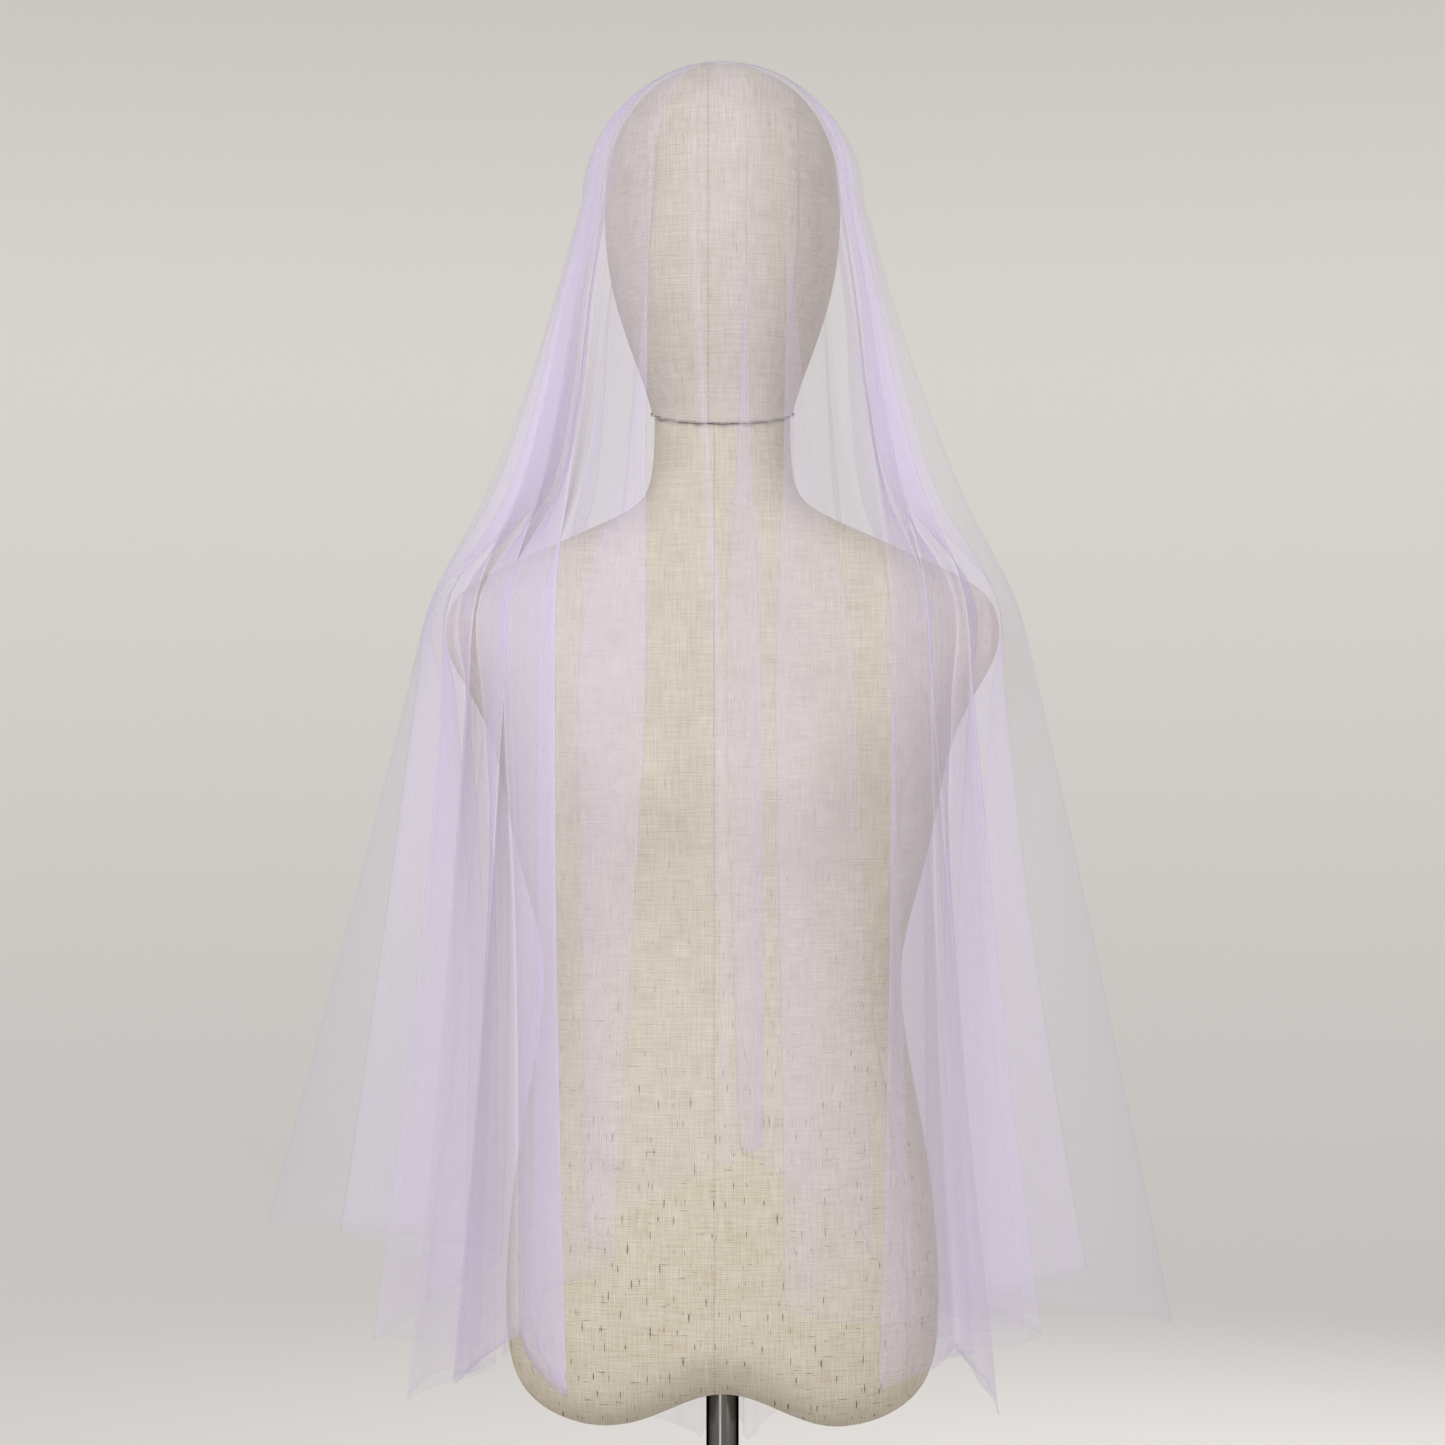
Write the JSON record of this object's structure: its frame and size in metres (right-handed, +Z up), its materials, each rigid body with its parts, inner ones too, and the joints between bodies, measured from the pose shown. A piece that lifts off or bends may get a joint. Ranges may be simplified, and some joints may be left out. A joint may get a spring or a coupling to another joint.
{
  "type": "bridal veil on dress form",
  "caption": "Soft tulle veil draped over the smooth head of a limbless linen dress form, in long leaning folds that flare to a raw hem, on a chrome pole and round base.",
  "frame": {"origin": "on the floor, at the middle of the round base's flat underside", "axes": "+Z up along the pole, front faces -Y, +X to the right of someone looking at the front"},
  "size_m": [0.6138, 0.467, 1.7],
  "materials": {
    "tulle": "sheer soft net, pale lilac, raw edge",
    "linen": "natural woven linen, matt, with slubs",
    "chrome": "polished"
  },
  "bodies": {
    "root": {"veil": "tulle", "head": "linen", "torso": "linen", "pole": "chrome", "base": "chrome"}
  },
  "joints": []
}
